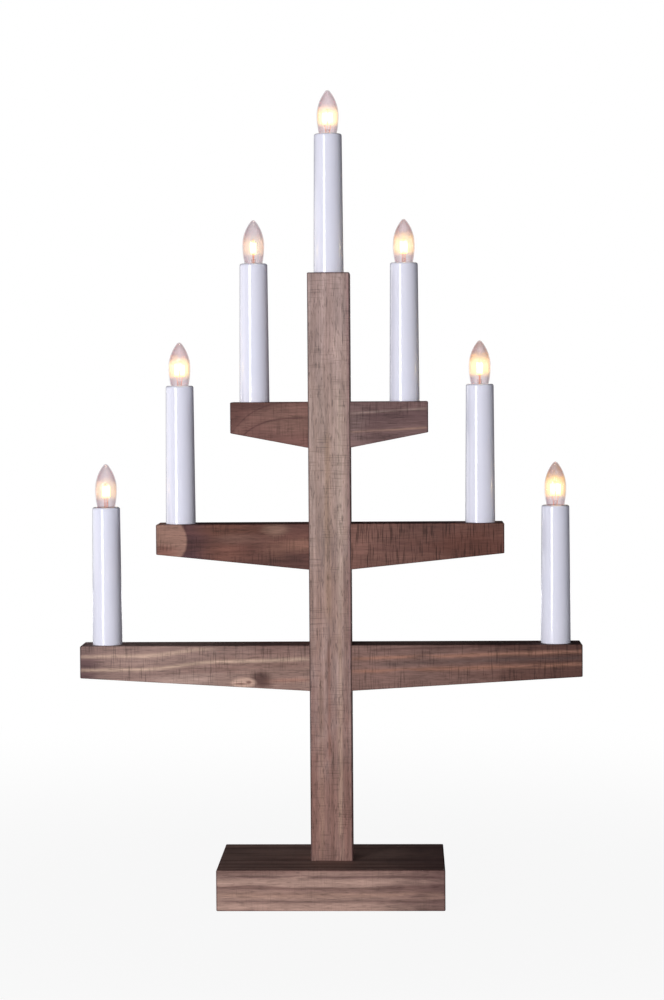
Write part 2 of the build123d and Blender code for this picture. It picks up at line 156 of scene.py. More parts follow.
class Finish:
    """A material under way: the shader's constants first, then nodes added one at a time."""

    def __init__(self, name, constants):
        self.material = bpy.data.materials.new(name)
        self.material.use_nodes = True
        self.nodes = self.material.node_tree.nodes
        self.shader = self.nodes["Principled BSDF"]
        self.feed(self.shader, constants)

    def feed(self, node, sockets):
        """Give sockets their values or links. A socket goes by its name or its number."""
        for socket, value in sockets.items():
            if isinstance(value, Value):
                self.material.node_tree.links.new(value.socket, node.inputs[socket])
            else:
                node.inputs[socket].default_value = value

    def node(self, kind, settings, sockets, output=0):
        """Add a node, its settings before its sockets, and return the value at one of its outputs."""
        node = self.nodes.new("ShaderNode" + kind)
        for setting, value in settings.items():
            setattr(node, setting, value)
        self.feed(node, sockets)
        return Value(self, node.outputs[output])

    def maths(self, operation, *values):
        return self.node("Math", {"operation": operation}, dict(enumerate(values)))

    def ease(self, value, low, high):
        """From 0 at low to 1 at high, smoothly."""
        sockets = {"Value": value, "From Min": low, "From Max": high}
        return self.node("MapRange", {"interpolation_type": "SMOOTHSTEP"}, sockets)

    def mix(self, share, low_colour, high_colour):
        """Colour between two others. The numbers are those of the Mix node's colour sockets."""
        return self.node("Mix", {"data_type": "RGBA"}, {0: share, 6: low_colour, 7: high_colour}, 2)

    def scale(self, colour, factor):
        return self.node("VectorMath", {"operation": "SCALE"}, {0: colour, "Scale": factor})

    def mottle(self, scale, detail):
        """Noise over the whole piece, from 0 to 1."""
        place = self.node("TexCoord", {}, {}, "Object")
        return self.node("TexNoise", {}, {"Vector": place, "Scale": scale, "Detail": detail})

    def measure(self, name):
        """A measure that is kept with the points of the mesh."""
        return self.node("Attribute", {"attribute_name": name}, {}, "Fac")

    def paint(self, colour=None, roughness=None, bump=None, bump_depth=None, others=None):
        """Link what varies into the shader. The bump's depth is in metres."""
        if colour:
            self.feed(self.shader, {"Base Color": colour})
        if roughness:
            self.feed(self.shader, {"Roughness": roughness})
        if bump:
            normal = self.node("Bump", {}, {"Height": bump, "Strength": 1.0, "Distance": bump_depth})
            self.feed(self.shader, {"Normal": normal})
        self.feed(self.shader, others or {})


floor_bmesh = bmesh.new()
bmesh.ops.create_grid(floor_bmesh, x_segments=1, y_segments=1, size=floor_half_size)
bmesh.ops.translate(floor_bmesh, verts=floor_bmesh.verts, vec=(0, 0, -floor_gap))
floor_mesh = bpy.data.meshes.new("floor")
floor_bmesh.to_mesh(floor_mesh)
floor_bmesh.free()
floor = bpy.data.objects.new("floor", floor_mesh)
bpy.context.scene.collection.objects.link(floor)
floor_finish = Finish(
    "pale_floor", {"Base Color": floor_colour, "Roughness": 0.9, "Specular IOR Level": 0.1}
)
floor_place = floor_finish.node("TexCoord", {}, {}, "Object")
floor_distance = floor_finish.node("VectorMath", {"operation": "LENGTH"}, {0: floor_place}, "Value")
floor_fade = floor_finish.ease(floor_distance, floor_fade_start, floor_fade_stop)
seen_directly = floor_finish.node("LightPath", {}, {}, "Is Camera Ray")
backdrop_share = seen_directly * (floor_paleness + floor_fade * (1 - floor_paleness))
paper = floor_finish.node("Emission", {}, {"Color": backdrop_colour})
floor_paint = Value(floor_finish, floor_finish.shader.outputs[0])
floor_surface = floor_finish.node("MixShader", {}, {0: backdrop_share, 1: floor_paint, 2: paper})
floor_finish.feed(floor_finish.nodes["Material Output"], {"Surface": floor_surface})
floor_mesh.materials.append(floor_finish.material)


# Foot block. A sawn block of pine, stained brown, with its grain along its length. It lies heart side
# down, so that its front shows nearly straight bands, two of them darker, and its ends show the rings.
screen_gamma = 2.2
foot_pale = (171, 140, 129)
foot_dark = (106, 78, 74)
# The darker brown of two bands on the front, also used as painted shade over the block's right end.
foot_band_and_shade = (86, 62, 62)
deep_stain = (62, 42, 46)
ring_wander = 9
ring_unevenness = 0.6
late_wood_start = 0.25
late_wood_end = 0.86
streak_fade = 8
end_stain_from = 0.2
end_stain_to = 1.3
corner_stain_from = 0.2
corner_stain_to = 1.2
wood_relief = 0.12 * mm


def stain(colour):
    """A stain's colour, given from 0 to 255 as a screen shows it, in linear values."""
    return tuple((channel / 255) ** screen_gamma for channel in colour) + (1.0,)


def stained_wood(name, upright, pith, ring_width, pale, dark, seed, saw=0.4, saw_cover=0.0,
                 fleck=0.25, contrast=0.7, strand=0.65, flow=None, streaks=(), patches=(), ends=(),
                 edge=None):
    """Brown-stained pine as a solid pattern, in millimetres along and across the grain.

    The pith is where the rings centre, across and in depth. Flow gives how far the grain rises or
    falls along the piece. Streaks and patches are colours of their own, laid over the rings: mostly
    stains, while some patches on the foot and the post are wholly or partly painted shade. A streak
    follows the grain at its level between its start and stop, and a patch is round or oval.
    Saw is the depth of the marks across the grain, and saw_cover spreads them over more of the piece.
    Fleck, contrast and strand are the strengths of the dark flecks, the rings and the long strands.
    The end grain at the ends, and the corners of a square bar whose half width is edge, take up more
    of the stain.
    """
    wood = Finish(name, {"Specular IOR Level": 0.28})
    place = wood.node("TexCoord", {}, {}, "Object")
    x, depth, z = (wood.node("SeparateXYZ", {}, {0: place}, axis) * (1 / mm) for axis in "XYZ")
    along, across = (z, x) if upright else (x, z)

    def grain(length, width, detail=2.0):
        """Noise from 0 to 1 with the given sizes along and across the grain."""
        sockets = {0: along / length + seed, 1: across / width, 2: depth / width}
        vector = wood.node("CombineXYZ", {}, sockets)
        return wood.node("TexNoise", {}, {"Vector": vector, "Scale": 1.0, "Detail": detail})

    level = across + flow(wood, along) if flow else across
    wander = (grain(160, 50) - 0.5) * ring_wander
    ring_across = level - pith[0] + wander
    ring_depth = depth - pith[1]
    radius = wood.maths("SQRT", ring_across * ring_across + ring_depth * ring_depth)
    turn = wood.maths("FRACT", radius / ring_width + (grain(70, 5) - 0.5) * ring_unevenness)
    late_wood = wood.ease(turn, late_wood_start, late_wood_end) - wood.ease(turn, late_wood_end, 1.0)
    colour = wood.mix(late_wood * contrast, stain(pale), stain(dark))
    for patch_along, patch_across, half_length, half_height, softness, patch_colour, strength in patches:
        offset_along = (along - patch_along) / half_length
        offset_across = (across - patch_across) / half_height
        distance = wood.maths("SQRT", offset_along * offset_along + offset_across * offset_across)
        distance = distance + (grain(14, 6) - 0.5) * softness * 1.5
        share = 1 - wood.ease(distance, 1 - softness, 1 + softness)
        colour = wood.mix(share * strength, colour, stain(patch_colour))
    for streak_level, half_width, streak_colour, strength, start, stop in streaks:
        offset = (level - streak_level + (grain(40, 6) - 0.5) * half_width * 1.5) / half_width
        share = wood.maths("EXPONENT", offset * offset * -1)
        share = share * wood.ease(along, start - streak_fade, start + streak_fade)
        share = share * (1 - wood.ease(along, stop - streak_fade, stop + streak_fade))
        share = share * wood.ease(grain(26, 4), 0.2, 0.45) * strength
        colour = wood.mix(share, colour, stain(streak_colour))
    for end in ends:
        share = 1 - wood.ease(wood.maths("ABSOLUTE", along - end), end_stain_from, end_stain_to)
        colour = wood.mix(share * 0.6, colour, stain(deep_stain))
    if edge:
        inner, outer = edge - corner_stain_to, edge - corner_stain_from
        share = wood.ease(wood.maths("ABSOLUTE", across), inner, outer)
        share = share * wood.ease(wood.maths("ABSOLUTE", depth), inner, outer)
        colour = wood.mix(share * 0.8, colour, stain(deep_stain))
    fibres = grain(8, 0.65, 3.0)
    strands = grain(60, 1.8)
    clouds = grain(42, 13)
    flecks = wood.ease(grain(6, 0.9), 0.56, 0.70)
    cuts = wood.ease(grain(0.85, 16), 0.50, 0.66) * wood.ease(grain(20, 10) + saw_cover, 0.42, 0.62)
    tone = 1 + (fibres - 0.5) * 1.0 + (strands - 0.5) * strand + (clouds - 0.5) * 0.8
    tone = tone * (1 - flecks * fleck) * (1 - cuts * saw)
    relief = fibres * 0.5 + strands * 0.3 - late_wood * 0.25 - cuts * saw
    wood.paint(wood.scale(colour, tone), 0.62 + (fibres - 0.5) * 0.3, relief, wood_relief)
    return wood.material


def dress(node_name, material):
    """Give a CAD node's mesh a better material."""
    for slot in nodes[node_name].material_slots:
        slot.material = material


foot_wood = stained_wood(
    "foot_wood", upright=False, pith=(-18, 10), ring_width=7.5, pale=foot_pale, dark=foot_dark,
    seed=3.1, saw=0.12,
    streaks=(
        (22.5, 1.1, foot_band_and_shade, 0.75, -75, 75),
        (6.5, 1.3, foot_band_and_shade, 0.5, -75, 75),
        (25.5, 0.9, foot_dark, 0.4, -75, -20),
        (10.4, 1.9, (180, 144, 128), 0.5, -75, 75),
    ),
    patches=(
        # Darker towards the right end; over the top face this is painted shadow of the post.
        (78, 14, 32, 24, 0.8, foot_band_and_shade, 0.7),
        # Painted shade: the whole top face darker, as it faces up, away from the lights.
        (0, 31, 300, 4.6, 0.05, (58, 34, 34), 0.45),
    ),
    ends=(-75, 75),
)
dress("foot_block", foot_wood)


# Foot screws. Two countersunk steel screws driven from below through the foot block into the post,
# plated with bright zinc that has dulled a little.
zinc = Finish("zinc", {"Metallic": 1.0})
zinc_mottle = zinc.mottle(900.0, 3.0)
zinc.paint(
    zinc.mix(zinc_mottle, (0.46, 0.47, 0.48, 1), (0.66, 0.66, 0.64, 1)), 0.28 + zinc_mottle * 0.2,
    zinc_mottle, 0.02 * mm,
)
dress("foot_screws", zinc.material)


# Post. One square length of pine, planed and stained in a lighter, greyer brown than the arms. It has
# fine straight grain and faint saw lines across it, and its corners took up more of the stain.
post_top = 418
post_half_width = 14
post_wood = stained_wood(
    "post_wood", upright=True, pith=(34, 24), ring_width=6.5, pale=(174, 150, 145),
    dark=(150, 124, 118), seed=7.7, saw=0.26, fleck=0.4, contrast=0.5, strand=0.9,
    streaks=(
        (6.2, 1.5, (180, 150, 132), 0.5, 30, 190),
        (-6.5, 1.5, (162, 130, 114), 0.4, 30, 150),
        (-1.2, 1.2, (128, 86, 74), 0.5, 96, 175),
        (10.5, 1.2, (122, 90, 84), 0.4, 30, 230),
        (-12.0, 1.6, (122, 84, 76), 0.4, 30, 150),
        (6.8, 1.6, (186, 164, 150), 0.45, 190, 340),
        (-1.5, 1.9, (150, 120, 98), 0.5, 190, 310),
        (12.6, 0.9, (138, 104, 106), 0.5, 150, post_top),
    ),
    # Darker towards the bottom: partly the wood's own tone, partly painted shade, as less light falls
    # low.
    patches=(
        (0, 0, 150, 60, 0.7, (132, 94, 84), 0.6),
        (60, 0, 36, 60, 0.9, (120, 82, 72), 0.4),
        (202, 0, 40, 60, 0.9, (146, 116, 104), 0.5),
        (300, 0, 60, 40, 0.9, (166, 142, 128), 0.4),
    ),
    ends=(post_top,), edge=post_half_width,
)
dress("post", post_wood)


# Arms. Six tapered lengths of pine, sawn, stained darker than the post and butted against its sides.
# Each was cut from another board, so each has its own grain, streaks and saw marks.
umber = (122, 88, 80)
dark_umber = (84, 58, 56)
beige = (198, 168, 150)
plum = (84, 60, 66)
rust = (140, 94, 80)


def lower_left_flow(wood, along):
    """Grain that drops towards the end of the arm and rises slowly from the knot to the post."""
    past_knot = wood.maths("MAXIMUM", along + 66, 0.0)
    return (1 - wood.ease(along, -128, -72)) * 5.4 - past_knot * 0.027


def upper_left_flow(wood, along):
    """Grain that sweeps down ever more steeply towards the end of the arm."""
    past_bend = wood.maths("MAXIMUM", along * -1 - 21, 0.0)
    return past_bend * past_bend * past_bend * 0.00024


arm_woods = {
    "arm_lower_left": stained_wood(
        "arm_wood_lower_left", upright=False, pith=(172, 40), ring_width=9.5, pale=(168, 141, 132),
        dark=(128, 99, 94), seed=11.3, saw=0.38, saw_cover=0.02, contrast=0.5, flow=lower_left_flow,
        streaks=(
            (169.6, 1.3, beige, 0.7, -168, -78),
            (160.6, 1.2, beige, 0.85, -168, -14),
            (147.0, 1.2, (176, 128, 112), 0.5, -40, -14),
        ),
        patches=(
            (-165, 158, 16, 14, 0.7, plum, 0.5),
            (-34, 152, 44, 15, 0.8, (124, 90, 80), 0.45),
            (-28, 173, 46, 7, 0.8, (102, 74, 70), 0.6),
            (-166, 155, 9, 8, 0.7, plum, 0.6),
            (-46, 147.8, 6.5, 5.5, 0.5, dark_umber, 0.8),
            (-58, 146.4, 8, 3.2, 0.3, (206, 170, 154), 0.95),
            (-54.5, 146.6, 1.6, 1.0, 0.6, umber, 0.8),
            (-60, 145.6, 3.5, 0.6, 0.6, umber, 0.7),
        ),
        ends=(-167,),
    ),
    "arm_lower_right": stained_wood(
        "arm_wood_lower_right", upright=False, pith=(150, 60), ring_width=8.0, pale=(95, 68, 62),
        dark=(70, 48, 46), seed=23.9, saw=0.38, saw_cover=0.06, contrast=0.8, strand=0.45,
        flow=lambda wood, along: along * -0.03,
        streaks=(
            (161.5, 1.2, (156, 114, 98), 0.9, 14, 168),
            (153.0, 1.3, (150, 108, 92), 0.9, 14, 168),
            (157.4, 1.5, (90, 76, 74), 0.5, 30, 168),
            (167.0, 0.8, dark_umber, 0.6, 30, 120),
        ),
        patches=((36, 156, 62, 30, 0.8, (156, 124, 116), 0.55),),
        ends=(167,),
    ),
    "arm_middle_left": stained_wood(
        "arm_wood_middle_left", upright=False, pith=(215, 30), ring_width=12.0, pale=(108, 74, 67),
        dark=(78, 54, 52), seed=31.7, saw=0.36, saw_cover=0.05, contrast=0.5,
        patches=(
            (-95, 240, 13, 24, 0.6, plum, 0.85),
            (-70, 248, 26, 4, 0.8, (110, 72, 58), 0.5),
            (-68, 234, 17, 6, 0.7, rust, 0.45),
            (-88, 239, 20, 5.0, 0.8, (74, 50, 46), 0.6),
            (-60, 242, 14, 3, 0.8, (124, 94, 84), 0.5),
            (-52, 236, 9, 4, 0.8, (84, 56, 52), 0.55),
            (-36, 234, 10, 5, 0.8, (130, 94, 82), 0.55),
            (-36, 248, 7, 3.5, 0.8, (144, 114, 100), 0.65),
            (-22, 228, 9, 6, 0.8, (88, 62, 58), 0.55),
            (-20, 238, 9, 4, 0.8, (140, 102, 88), 0.6),
            (-112, 241, 17, 17, 0.06, (155, 119, 106), 0.9),
            (-116, 233, 14, 5, 0.6, (120, 78, 70), 0.7),
        ),
        ends=(-115.5,),
    ),
    "arm_middle_right": stained_wood(
        "arm_wood_middle_right", upright=False, pith=(262, 26), ring_width=10.0, pale=(120, 86, 78),
        dark=(92, 64, 60), seed=41.1, saw=0.56, saw_cover=0.22, fleck=0.1, contrast=0.4, strand=0.25,
        patches=(
            (100, 236, 34, 14, 0.7, (96, 62, 54), 0.8),
            (64, 250, 15, 5, 0.8, (82, 58, 54), 0.5),
            (18, 240, 14, 8, 0.8, (140, 102, 92), 0.5),
        ),
        ends=(115.5,),
    ),
    "arm_upper_left": stained_wood(
        "arm_wood_upper_left", upright=False, pith=(298, 34), ring_width=11.0, pale=(120, 86, 80),
        dark=(106, 76, 72), seed=53.3, saw=0.26, saw_cover=0.06, contrast=0.4, strand=0.4,
        flow=upper_left_flow,
        streaks=(
            (332.2, 0.6, dark_umber, 0.75, -66, -26),
            (321.8, 0.6, dark_umber, 0.75, -66, -14),
            (328.0, 3.6, (130, 97, 89), 0.45, -66, -14),
        ),
        patches=(
            (-64, 324, 9, 16, 0.7, (84, 56, 52), 0.5),
            (-44, 334, 30, 5.5, 0.8, (86, 60, 56), 0.6),
            (-24, 320, 18, 8, 0.8, (142, 108, 98), 0.55),
        ),
        ends=(-65.5,),
    ),
    "arm_upper_right": stained_wood(
        "arm_wood_upper_right", upright=False, pith=(290, 48), ring_width=9.0, pale=(116, 91, 90),
        dark=(86, 66, 68), seed=61.9, saw=0.34, saw_cover=0.02, contrast=0.5,
        flow=lambda wood, along: along * -0.06,
        streaks=(
            (324.0, 0.7, (166, 142, 134), 0.6, 14, 68),
            (311.5, 0.7, (160, 128, 112), 0.6, 14, 68),
        ),
        patches=((17, 316, 7, 12, 0.8, (140, 118, 114), 0.4),),
        ends=(65.5,),
    ),
}
for arm_name, arm_wood in arm_woods.items():
    dress(arm_name, arm_wood)


# Dowels. Turned beech pins, two for each arm, glued into bores in the post and the arm. They are
# quite hidden once the tree is together.
beech = Finish("beech", {"Specular IOR Level": 0.3})
beech_place = beech.node("TexCoord", {}, {}, "Object")
beech_grain = beech.node("Mapping", {}, {"Vector": beech_place, "Scale": (120.0, 2200.0, 2200.0)})
beech_fibres = beech.node("TexNoise", {}, {"Vector": beech_grain, "Scale": 1.0, "Detail": 3.0})
beech.paint(
    beech.mix(beech_fibres, stain((206, 166, 122)), stain((226, 190, 148))), 0.55 + beech_fibres * 0.2,
    beech_fibres, 0.05 * mm,
)
dress("arm_dowels", beech.material)


# Candle tubes. Moulded in white glossy plastic, drafted a little towards the rim, standing in bores in
# the wood. The rim is well rounded outside and has a lip inside that holds the lampholder down.
tube_rim_radius = 9.2 * mm
tube_wall = 1.3 * mm
tube_rim_round = 1.4 * mm
tube_mouth_round = 0.6 * mm
tube_mouth_radius = 6.8 * mm
tube_lip_depth = 3.0 * mm
tube_seat_depth = 9.0 * mm
tube_collar = 0.3 * mm
tube_steps = 96
tube_rim_segments = 7
tube_mouth_segments = 4
cut_tolerance = 0.001 * mm
edge_tolerance = 0.01 * mm
merge_distance = 0.0005 * mm
sharp_angle = radians(38)

rims = {}
for node_name in nodes:
    if node_name.startswith("candle_tube_"):
        low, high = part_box(node_name)
        rims[node_name.removeprefix("candle_tube_")] = Vector(((low.x + high.x) / 2, 0, high.z))


def turned(bm, corners, centre, steps, closed=True):
    """Turn an outline of corners (radius, height above the centre) about an upright axis."""
    outline = [bm.verts.new(centre + Vector((radius, 0, height))) for radius, height in corners]
    ends = outline[1:] + outline[:1] if closed else outline[1:]
    edges = [bm.edges.new(pair) for pair in zip(outline, ends)]
    bmesh.ops.spin(
        bm, geom=outline + edges, cent=centre, axis=(0, 0, 1), angle=tau, steps=steps, use_merge=True
    )


def round_edge(bm, centre, radius, height, offset, segments):
    """Round the edge that runs around a turned piece at the given radius and height."""

    def on_edge(vert):
        place = vert.co - centre
        off_radius = abs(hypot(place.x, place.y) - radius)
        off_height = abs(place.z - height)
        return off_radius < edge_tolerance and off_height < edge_tolerance

    edges = [edge for edge in bm.edges if all(on_edge(vert) for vert in edge.verts)]
    bmesh.ops.bevel(
        bm, geom=edges, offset=offset, segments=segments, profile=0.5, affect="EDGES", material=-1
    )


def make_piece(name, bm, materials, body, node_name):
    """Turn a finished bmesh into a piece that rides on a body and stands for a CAD node."""
    mesh = bpy.data.meshes.new(name)
    bm.to_mesh(mesh)
    bm.free()
    mesh.shade_smooth()
    mesh.set_sharp_from_angle(angle=sharp_angle)
    for material in materials:
        mesh.materials.append(material)
    piece = bpy.data.objects.new(name, mesh)
    bpy.context.scene.collection.objects.link(piece)
    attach(piece, body)
    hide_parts(node_name)
    return piece


def close_up(bm):
    """Merge the seam and poles of turned shapes and point their faces outwards."""
    bmesh.ops.remove_doubles(bm, verts=bm.verts, dist=merge_distance)
    bmesh.ops.recalc_face_normals(bm, faces=bm.faces)


white_plastic = Finish("white_plastic", {"Coat Roughness": 0.03, "IOR": 1.5})
plastic_waves = white_plastic.mottle(45.0, 1.0)
plastic_dust = white_plastic.mottle(1400.0, 2.0)
white_plastic.paint(
    white_plastic.mix(plastic_waves, (0.79, 0.80, 0.94, 1), (0.84, 0.83, 0.95, 1)),
    0.17 + white_plastic.ease(plastic_dust, 0.62, 0.8) * 0.15,
    plastic_waves + plastic_dust * 0.02, 0.05 * mm,
    {"Coat Weight": 0.3 - plastic_dust * 0.1},
)

for place, rim in rims.items():
    low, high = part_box(f"candle_tube_{place}")
    tube_foot_radius = (high.x - low.x) / 2
    foot = low.z - rim.z
    tube = bmesh.new()
    corners = [
        (tube_mouth_radius, 0),
        (tube_rim_radius, 0),
        (tube_foot_radius, foot + tube_seat_depth),
        (tube_foot_radius, foot),
        (tube_foot_radius - tube_wall, foot),
        (tube_rim_radius - tube_wall, -tube_lip_depth),
        (tube_mouth_radius, -tube_lip_depth),
    ]
    turned(tube, corners, rim, tube_steps)
    close_up(tube)
    bmesh.ops.bisect_plane(
        tube, geom=tube.verts[:] + tube.edges[:] + tube.faces[:], dist=cut_tolerance,
        plane_co=rim - Vector((0, 0, tube_rim_round + tube_collar)), plane_no=(0, 0, 1),
    )
    round_edge(tube, rim, tube_rim_radius, 0, tube_rim_round, tube_rim_segments)
    round_edge(tube, rim, tube_mouth_radius, 0, tube_mouth_round, tube_mouth_segments)
    make_piece(
        f"tube_{place}", tube, [white_plastic.material], "tree", f"candle_tube_{place}"
    )


# Lampholders. White moulded cups, held up under the lip of each tube, with a skirt around their
# solder tags.
holder_plastic = Finish("holder_plastic", {"IOR": 1.5})
holder_mottle = holder_plastic.mottle(600.0, 3.0)
holder_plastic.paint(
    holder_plastic.mix(holder_mottle, stain((208, 204, 196)), stain((226, 223, 216))),
    0.42 + holder_mottle * 0.15, holder_mottle, 0.03 * mm,
)
for place in rims:
    dress(f"lampholder_{place}", holder_plastic.material)


# Socket shells and contacts. Thin rolled brass in the lampholders: a shell with the bulb's thread
# pressed into it, and a rivet with a strip and a tag for the leads.
thread_pitch = 1.814 * mm
brass = Finish("socket_brass", {"Metallic": 1.0})
brass_mottle = brass.mottle(500.0, 4.0)
brass_place = brass.node("TexCoord", {}, {}, "Object")
brass_height = brass.node("SeparateXYZ", {}, {0: brass_place}, "Z")
brass_thread = brass.maths("SINE", brass_height * (tau / thread_pitch))
brass.paint(
    brass.mix(brass_mottle, (0.62, 0.44, 0.17, 1), (0.82, 0.63, 0.30, 1)), 0.25 + brass_mottle * 0.25,
    brass_thread * 0.9 + brass_mottle * 0.1, 0.25 * mm,
)
dress("socket_shells", brass.material)
dress("socket_contacts", brass.material)


# Bulb glass. A clear flame-shaped envelope, blown and drawn to a point, closed at its neck around a
# short stem. Its belly carries a painted warm glow for the filament's light, which in some bulbs
# spreads up as a painted brownish gold glow towards the tip. The stem has a painted orange glow, and
# the tip and waist stay a greyish pink.
bulb_radius = 7.2 * mm
bulb_rise = 28.8 * mm
belly_rise = 12.0 * mm
nose_radius = 1.9 * mm
glass_wall = 0.6 * mm
waist_radius = 4.68 * mm
cap_drop = 4.5 * mm
neck_radius = 4.25 * mm
neck_step = 1.1 * mm
neck_length = 4.5 * mm
stem_radius = 1.5 * mm
stem_rise = 3.0 * mm
stem_flare = 1.2 * mm
glass_steps = 64
flank_steps = 18
nose_steps = 8
waist_steps = 14
clear_tint = (146, 102, 132)
lit_tint = (206, 172, 128)
painted_tip_glow_tint = (112, 64, 48)
stem_tint = (170, 104, 76)
# Colours of the painted glow on the glass.
clear_glow = (0.03, 0.014, 0.014, 1)
painted_tip_glow = (0.14, 0.05, 0.01, 1)
stem_glow = (0.16, 0.06, 0.03, 1)
gold_glow = (0.98, 0.75, 0.33, 1)
deep_gold_glow = (0.92, 0.62, 0.20, 1)

# Where each tint and glow fades in or out, from one rise above the tube's rim to another, in
# millimetres. For the side of the stem they are radii from the bulb's axis.
glow_foot = (3.5, 8.0)
glow_head = (13.0, 19.5)
tip_glow_foot = (13.0, 19.0)
stem_head = (6.0, 9.0)
stem_side = (1.6, 2.4)

# For each bulb, how brightly the painted glow on its belly shines and how far a painted brownish gold
# glow spreads up from it towards the tip, both from 0 to 1.
glass_light = {
    "top": (0.9, 0.1),
    "upper_left": (0.4, 0.15),
    "upper_right": (0.75, 0.45),
    "middle_left": (0.9, 0.3),
    "middle_right": (0.85, 0.7),
    "lower_left": (0.5, 0.15),
    "lower_right": (0.9, 0.85),
}


def arc(bm, start, centre, angle, steps):
    """Carry a corner of an outline along an upright arc and return the arc's last corner."""
    made = bmesh.ops.spin(bm, geom=[start], cent=centre, axis=(0, -1, 0), angle=angle, steps=steps)
    return made["geom_last"][0]


def flame(bm, rim, inset):
    """Outline from nose to waist as three arcs, moved in by the inset. Returns the waist's corner."""
    nose_height = bulb_rise - nose_radius - belly_rise
    flank_radius = (bulb_radius**2 - nose_radius**2 + nose_height**2) / (2 * (bulb_radius - nose_radius))
    flank_angle = atan2(nose_height, flank_radius - bulb_radius)
    waist_drop = belly_rise + cap_drop
    waist_step = bulb_radius - waist_radius
    waist_bend = (waist_step**2 + waist_drop**2) / (2 * waist_step)
    belly = rim + Vector((bulb_radius - inset, 0, belly_rise))
    flank_centre = rim + Vector((bulb_radius - flank_radius, 0, belly_rise))
    waist_centre = rim + Vector((bulb_radius - waist_bend, 0, belly_rise))
    nose_centre = rim + Vector((0, 0, bulb_rise - nose_radius))
    start = bm.verts.new(belly)
    shoulder = arc(bm, start, flank_centre, flank_angle, flank_steps)
    arc(bm, shoulder, nose_centre, pi / 2 - flank_angle, nose_steps)
    return arc(bm, bm.verts.new(belly), waist_centre, -asin(waist_drop / waist_bend), waist_steps)


def envelope_skin(rim, inset, corners, inwards):
    """One skin of the glass: the flame and straight runs through the corners, turned about its axis."""
    bm = bmesh.new()
    last = flame(bm, rim, inset)
    for radius, height in corners:
        corner = bm.verts.new(rim + Vector((radius, 0, height)))
        bm.edges.new((last, corner))
        last = corner
    bmesh.ops.spin(
        bm, geom=bm.verts[:] + bm.edges[:], cent=rim, axis=(0, 0, 1), angle=tau, steps=glass_steps,
        use_merge=True,
    )
    close_up(bm)
    if inwards:
        bmesh.ops.reverse_faces(bm, faces=bm.faces)
    return bm


def keep_measure(piece, name, measure):
    """Keep a measure of each point with the mesh, where the piece's finish can read it."""
    kept = piece.data.attributes.new(name, "FLOAT", "POINT")
    for index, vert in enumerate(piece.data.vertices):
        kept.data[index].value = measure(vert.co)


# Painted glow: the glass emits light of its own for the filament's glare, most where it faces the view.
clear_glass = Finish("clear_glass", {"Roughness": 0.04, "IOR": 1.48, "Emission Strength": 1.0})
glass_rise = clear_glass.measure("rise")
glass_radius = clear_glass.measure("radius")
glass_warmth = clear_glass.measure("warmth")
glass_tip_glow_reach = clear_glass.measure("tip_glow_reach")
glass_facing = clear_glass.node("LayerWeight", {}, {"Blend": 0.35}, "Facing")
glass_waves = clear_glass.mottle(260.0, 2.0)
glass_height = glass_rise - glass_tip_glow_reach * 4 - (glass_waves - 0.5) * (4 + glass_tip_glow_reach * 14)
glass_lit = clear_glass.ease(glass_rise, *glow_foot) * (1 - clear_glass.ease(glass_height, *glow_head))
glass_lit = glass_lit * (1 - glass_facing) * glass_warmth
glass_stem = 1 - clear_glass.ease(glass_radius, *stem_side)
glass_stem = glass_stem * (1 - clear_glass.ease(glass_rise, *stem_head))
glass_gold = clear_glass.mix(glass_tip_glow_reach, gold_glow, deep_gold_glow)
glass_body = glass_lit * (0.05 + glass_tip_glow_reach * 0.06)
glass_mottle = 0.45 + clear_glass.ease(glass_waves, 0.35, 0.65) * 0.8
painted_tip_glow_share = glass_tip_glow_reach * clear_glass.ease(glass_rise, *tip_glow_foot) * glass_mottle
glass_tint = clear_glass.mix(glass_lit, stain(clear_tint), stain(lit_tint))
glass_tint = clear_glass.mix(painted_tip_glow_share, glass_tint, stain(painted_tip_glow_tint))
glass_tint = clear_glass.mix(glass_stem, glass_tint, stain(stem_tint))
# Painted glow: faint overall, brownish gold towards the tip, gold on the belly, orange on the stem.
glass_glow = clear_glass.mix(painted_tip_glow_share, clear_glow, painted_tip_glow)
glass_glow = clear_glass.mix(glass_lit, glass_glow, glass_gold)
glass_glow = clear_glass.mix(glass_stem, glass_glow, stem_glow)
glass_cover = 0.13 + glass_facing * 0.32 + glass_body + painted_tip_glow_share * 0.10
clear_glass.paint(glass_tint, others={"Alpha": glass_cover, "Emission Color": glass_glow})

for place, rim in rims.items():
    neck_end = -cap_drop - neck_length
    outside = envelope_skin(
        rim, 0, [(neck_radius, -cap_drop - neck_step), (neck_radius, neck_end), (0, neck_end)], False
    )
    inside = envelope_skin(
        rim,
        glass_wall,
        [
            (neck_radius - glass_wall, -cap_drop - neck_step),
            (neck_radius - glass_wall, neck_end + glass_wall),
            (stem_radius + stem_flare, neck_end + glass_wall),
            (stem_radius, neck_end + glass_wall + stem_flare),
            (stem_radius, stem_rise),
            (0, stem_rise),
        ],
        True,
    )
    inner_mesh = bpy.data.meshes.new("inner_skin")
    inside.to_mesh(inner_mesh)
    inside.free()
    outside.from_mesh(inner_mesh)
    bpy.data.meshes.remove(inner_mesh)
    glass = make_piece(
        f"glass_{place}", outside, [clear_glass.material], f"bulb_{place}", f"bulb_glass_{place}",
    )
    warmth, tip_glow_reach = glass_light[place]
    keep_measure(glass, "rise", lambda point: (point.z - rim.z) / mm)
    keep_measure(glass, "radius", lambda point: hypot(point.x - rim.x, point.y - rim.y) / mm)
    keep_measure(glass, "warmth", lambda point: warmth)
    keep_measure(glass, "tip_glow_reach", lambda point: tip_glow_reach)


